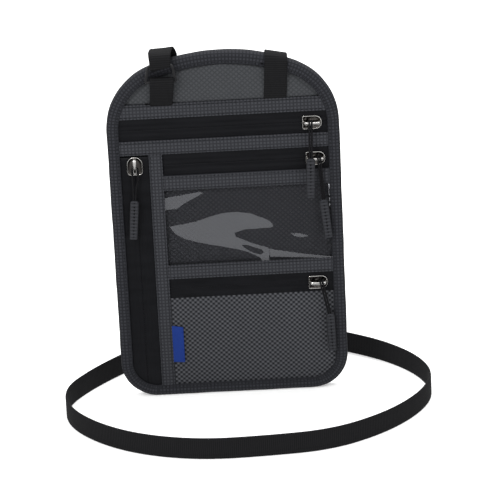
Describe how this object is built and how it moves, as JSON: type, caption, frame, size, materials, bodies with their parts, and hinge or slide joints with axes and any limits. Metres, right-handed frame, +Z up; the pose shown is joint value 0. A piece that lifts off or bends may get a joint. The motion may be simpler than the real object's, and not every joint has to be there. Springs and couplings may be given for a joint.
{
  "type": "neck pouch wallet",
  "caption": "Flat grey travel pouch with zipped pockets, a clear window, corded zipper pulls and a webbing neck strap laid in a loop around its foot.",
  "frame": {"origin": "middle of the pouch's flat bottom edge, which it stands on", "axes": "+Z up the pouch, the zipped front faces -Y, +X to the right of someone facing the front"},
  "size_m": [0.2104, 0.1467, 0.2116],
  "materials": {
    "ripstop": "matt diamond ripstop nylon",
    "binding": "matt square ripstop nylon",
    "lining": "smooth polyester",
    "mesh": "embossed diamond mesh",
    "clear_film": "clear soft PVC film",
    "zip_tape": "coated black zipper tape",
    "zip_coil": "black nylon coil",
    "gunmetal": "polished gunmetal plating",
    "cord": "braided black cord",
    "grip": "folded ripstop",
    "label": "woven satin",
    "webbing": "black woven polyester webbing",
    "ring": "black plated wire"
  },
  "bodies": {
    "pouch": {"back_panel": "ripstop", "rear_lining": "lining", "pocket_divider": "lining", "front_lining": "lining", "edge_binding": "binding", "yoke_panel": "ripstop", "top_strip": "binding", "cross_strip": "binding", "upright_strip": "binding", "window_strip": "binding", "sill_strip": "binding", "window_backing": "ripstop", "clear_window": "clear_film", "mesh_pocket_panel": "mesh", "label_tab": "label", "strap_right_end": "webbing", "strap_left_end": "webbing", "ring_tab": "webbing", "strap_right_riser": "webbing", "strap_left_riser": "webbing", "strap_floor_loop": "webbing", "top_zip_tape": "zip_tape", "top_zip_coil": "zip_coil", "cross_zip_tape": "zip_tape", "cross_zip_coil": "zip_coil", "lower_zip_tape": "zip_tape", "lower_zip_coil": "zip_coil", "side_zip_tape": "zip_tape", "side_zip_coil": "zip_coil"},
    "top_slider": {"top_zip_slider": "gunmetal"},
    "top_cord": {"top_pull_cord": "cord"},
    "top_grip": {"top_pull_grip": "grip"},
    "cross_slider": {"cross_zip_slider": "gunmetal"},
    "cross_cord": {"cross_pull_cord": "cord"},
    "cross_grip": {"cross_pull_grip": "grip"},
    "lower_slider": {"lower_zip_slider": "gunmetal"},
    "lower_cord": {"lower_pull_cord": "cord"},
    "lower_grip": {"lower_pull_grip": "grip"},
    "side_slider": {"side_zip_slider": "gunmetal"},
    "side_cord": {"side_pull_cord": "cord"},
    "side_grip": {"side_pull_grip": "grip"},
    "ring": {"strap_ring": "ring"}
  },
  "joints": [
    {"name": "top_zip", "type": "slide", "parent": "pouch", "child": "top_slider", "axis": [-1, 0, 0], "range_m": [0, 0.1]},
    {"name": "top_pull_lift", "type": "hinge", "parent": "top_slider", "child": "top_cord", "pos_m": [0.049, -0.0066, 0.164], "axis": [-1, 0, 0], "range_deg": [0, 165]},
    {"name": "top_pull_swing", "type": "hinge", "parent": "top_cord", "child": "top_grip", "pos_m": [0.0482, -0.0099, 0.142], "axis": [0, -1, 0], "range_deg": [-35, 35]},
    {"name": "cross_zip", "type": "slide", "parent": "pouch", "child": "cross_slider", "axis": [-1, 0, 0], "range_m": [0, 0.079]},
    {"name": "cross_pull_lift", "type": "hinge", "parent": "cross_slider", "child": "cross_cord", "pos_m": [0.0532, -0.0066, 0.1425], "axis": [-1, 0, 0], "range_deg": [0, 165]},
    {"name": "cross_pull_swing", "type": "hinge", "parent": "cross_cord", "child": "cross_grip", "pos_m": [0.0549, -0.0066, 0.1158], "axis": [0, -1, 0], "range_deg": [-35, 35]},
    {"name": "lower_zip", "type": "slide", "parent": "pouch", "child": "lower_slider", "axis": [-1, 0, 0], "range_m": [0, 0.078]},
    {"name": "lower_pull_lift", "type": "hinge", "parent": "lower_slider", "child": "lower_cord", "pos_m": [0.052, -0.0066, 0.0667], "axis": [-1, 0, 0], "range_deg": [0, 165]},
    {"name": "lower_pull_swing", "type": "hinge", "parent": "lower_cord", "child": "lower_grip", "pos_m": [0.0562, -0.0066, 0.0454], "axis": [0, -1, 0], "range_deg": [-35, 35]},
    {"name": "side_zip", "type": "slide", "parent": "pouch", "child": "side_slider", "axis": [0, 0, -1], "range_m": [0, 0.126]},
    {"name": "side_pull_lift", "type": "hinge", "parent": "side_slider", "child": "side_cord", "pos_m": [-0.0507, -0.00525, 0.1414], "axis": [-1, 0, 0], "range_deg": [0, 165]},
    {"name": "side_pull_swing", "type": "hinge", "parent": "side_cord", "child": "side_grip", "pos_m": [-0.0521, -0.0064, 0.1206], "axis": [0, -1, 0], "range_deg": [-35, 35]},
    {"name": "ring_rock", "type": "hinge", "parent": "pouch", "child": "ring", "pos_m": [-0.0332, -0.00695, 0.1932], "axis": [1, 0, 0], "range_deg": [-4, 4]}
  ]
}
